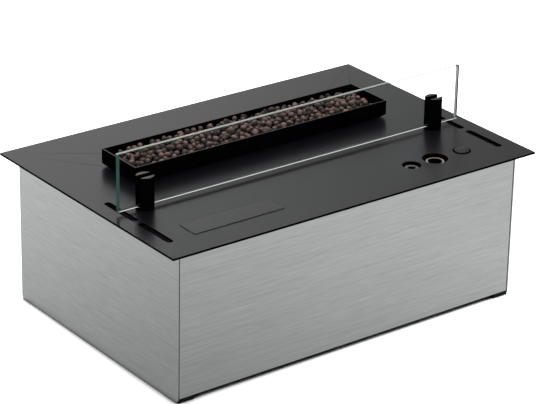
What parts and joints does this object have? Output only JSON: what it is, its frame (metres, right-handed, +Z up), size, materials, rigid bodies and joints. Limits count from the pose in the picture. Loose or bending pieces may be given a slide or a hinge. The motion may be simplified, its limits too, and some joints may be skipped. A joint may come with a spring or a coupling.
{
  "type": "bioethanol fireplace",
  "caption": "Drop-in bioethanol fireplace: black plate over a steel casing, a line burner in a tray of stones, a glass screen in slotted posts, a fuel filler and a push button.",
  "frame": {"origin": "on the floor, under the middle of the plate", "axes": "+X along the front to the side with the filler and the button, +Y towards the back, +Z up"},
  "size_m": [0.5, 0.34, 0.2505],
  "materials": {
    "plate_black": "satin powder coat",
    "casing_steel": "fine vertical brushing",
    "pan_steel": "plain mill finish",
    "foot_rubber": "matte",
    "screen_glass": "clear with ground edges",
    "post_black": "satin black",
    "tray_black": "satin heat-proof black",
    "burner_steel": "heat-tinted",
    "stone": "rough and porous",
    "ceramic_fibre": "matte fibre",
    "shield_metal": "satin",
    "brass": "turned",
    "black_plastic": "matte",
    "grey_plastic": "matte",
    "button_metal": "satin",
    "spring_steel": "drawn wire",
    "gasket": "matte",
    "tank_steel": "plain mill finish",
    "hose_rubber": "matte",
    "float_foam": "matte",
    "pump_metal": "cast",
    "fan_plastic": "matte",
    "box_plastic": "matte",
    "board": "solder mask",
    "battery_wrap": "shrink wrap",
    "lead_cover": "matte",
    "zinc": "zinc plated"
  },
  "bodies": {
    "casing": {"top_plate": "plate_black", "badge_plate": "plate_black", "left_side_panel": "casing_steel", "right_side_panel": "casing_steel", "front_panel": "casing_steel", "back_panel": "casing_steel", "base_pan": "pan_steel", "feet": "foot_rubber", "corner_angles": "pan_steel", "plate_studs": "zinc", "plate_nuts": "zinc", "air_ducts": "pan_steel", "glass_post_left": "post_black", "glass_post_right": "post_black", "post_nuts": "zinc", "burner_tray": "tray_black", "tray_gasket": "gasket", "burner_trough": "burner_steel", "trough_screws": "zinc", "stone_grate": "burner_steel", "ceramic_wick": "ceramic_fibre", "lava_stones": "stone", "igniter": "brass", "flame_sensor": "burner_steel", "heat_shield": "shield_metal", "insulation_liner": "ceramic_fibre", "fuel_tank": "tank_steel", "tank_gasket": "gasket", "tank_lid": "tank_steel", "tank_screws": "zinc", "breather_valve": "brass", "level_stem": "tank_steel", "filler_cup": "black_plastic", "filler_neck": "brass", "valve_spring": "spring_steel", "filler_hose": "hose_rubber", "hose_clips": "zinc", "socket_shell": "black_plastic", "socket_insert": "grey_plastic", "button_housing": "black_plastic", "button_switch": "black_plastic", "button_spring": "spring_steel", "pump_motor": "pump_metal", "pump_body": "pump_metal", "pump_cover": "pump_metal", "suction_pipe": "tank_steel", "feed_pipe": "tank_steel", "fan_frame": "fan_plastic", "control_box": "box_plastic", "control_lid": "box_plastic", "control_board": "board", "board_parts": "black_plastic", "battery_pack": "battery_wrap", "wiring_leads": "lead_cover"},
    "button": {"button_cap": "button_metal"},
    "screen": {"glass_panel": "screen_glass"},
    "valve": {"filler_valve": "brass"},
    "float": {"level_float": "float_foam"},
    "fan": {"fan_rotor": "fan_plastic"},
    "pump": {"pump_rotor": "spring_steel"}
  },
  "joints": [
    {"name": "button_press", "type": "slide", "parent": "casing", "child": "button", "axis": [0, 0, -1], "range_m": [0, 0.0015], "stiffness_N_per_m": 400, "springref_m": -0.002, "deforming": ["button_spring"]},
    {"name": "screen_lift", "type": "slide", "parent": "casing", "child": "screen", "axis": [0, 0, 1], "range_m": [0, 0.045]},
    {"name": "valve_open", "type": "slide", "parent": "casing", "child": "valve", "axis": [0, 0, -1], "range_m": [0, 0.004], "stiffness_N_per_m": 300, "springref_m": -0.005, "deforming": ["valve_spring"]},
    {"name": "float_rise", "type": "slide", "parent": "casing", "child": "float", "axis": [0, 0, 1], "range_m": [0, 0.073]},
    {"name": "fan_spin", "type": "hinge", "parent": "casing", "child": "fan", "pos_m": [-0.2115, -0.0738, 0.1324], "axis": [1, 0, 0], "continuous": true},
    {"name": "pump_spin", "type": "hinge", "parent": "casing", "child": "pump", "pos_m": [0.03, 0, 0.0505], "axis": [0, 0, 1], "continuous": true}
  ]
}
